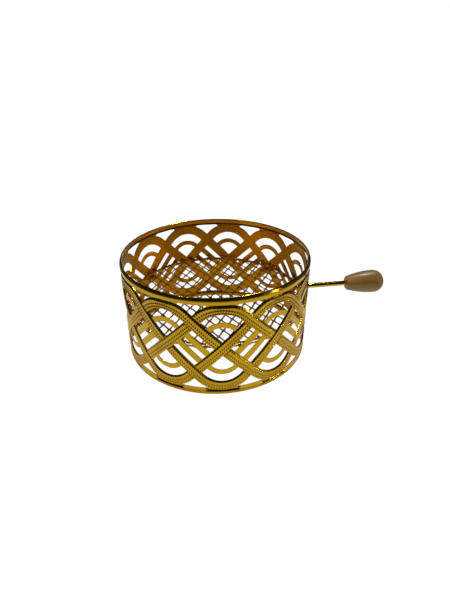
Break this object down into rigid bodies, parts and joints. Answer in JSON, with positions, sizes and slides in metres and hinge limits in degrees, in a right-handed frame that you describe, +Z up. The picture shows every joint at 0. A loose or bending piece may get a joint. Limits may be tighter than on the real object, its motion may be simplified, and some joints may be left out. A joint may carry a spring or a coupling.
{
  "type": "openwork brass basket with mesh shelf and wooden handle",
  "caption": "Round openwork brass basket with a woven-look pierced wall, a diamond mesh shelf at mid height and a side rod with a turned wooden knob.",
  "frame": {"origin": "centre of the base of the whole object's bounding box, on the surface it stands on", "axes": "+Z up along the basket's axis, +X along the handle from the basket to the knob"},
  "size_m": [0.1618, 0.11, 0.06],
  "materials": {
    "polished_brass": "polished, lightly worn",
    "aged_brass": "warm, slightly tarnished",
    "varnished_wood": "satin varnish over light wood"
  },
  "bodies": {
    "root": {"wall_band": "polished_brass", "top_rim_wire": "polished_brass", "bottom_rim_wire": "polished_brass", "seam_strap_lower": "aged_brass", "seam_strap_upper": "aged_brass", "shelf_hoop": "aged_brass", "shelf_mesh": "aged_brass", "shelf_lug_1": "aged_brass", "shelf_lug_2": "aged_brass", "shelf_lug_3": "aged_brass", "shelf_lug_4": "aged_brass", "handle_rod": "polished_brass", "handle_knob": "varnished_wood"}
  },
  "joints": []
}
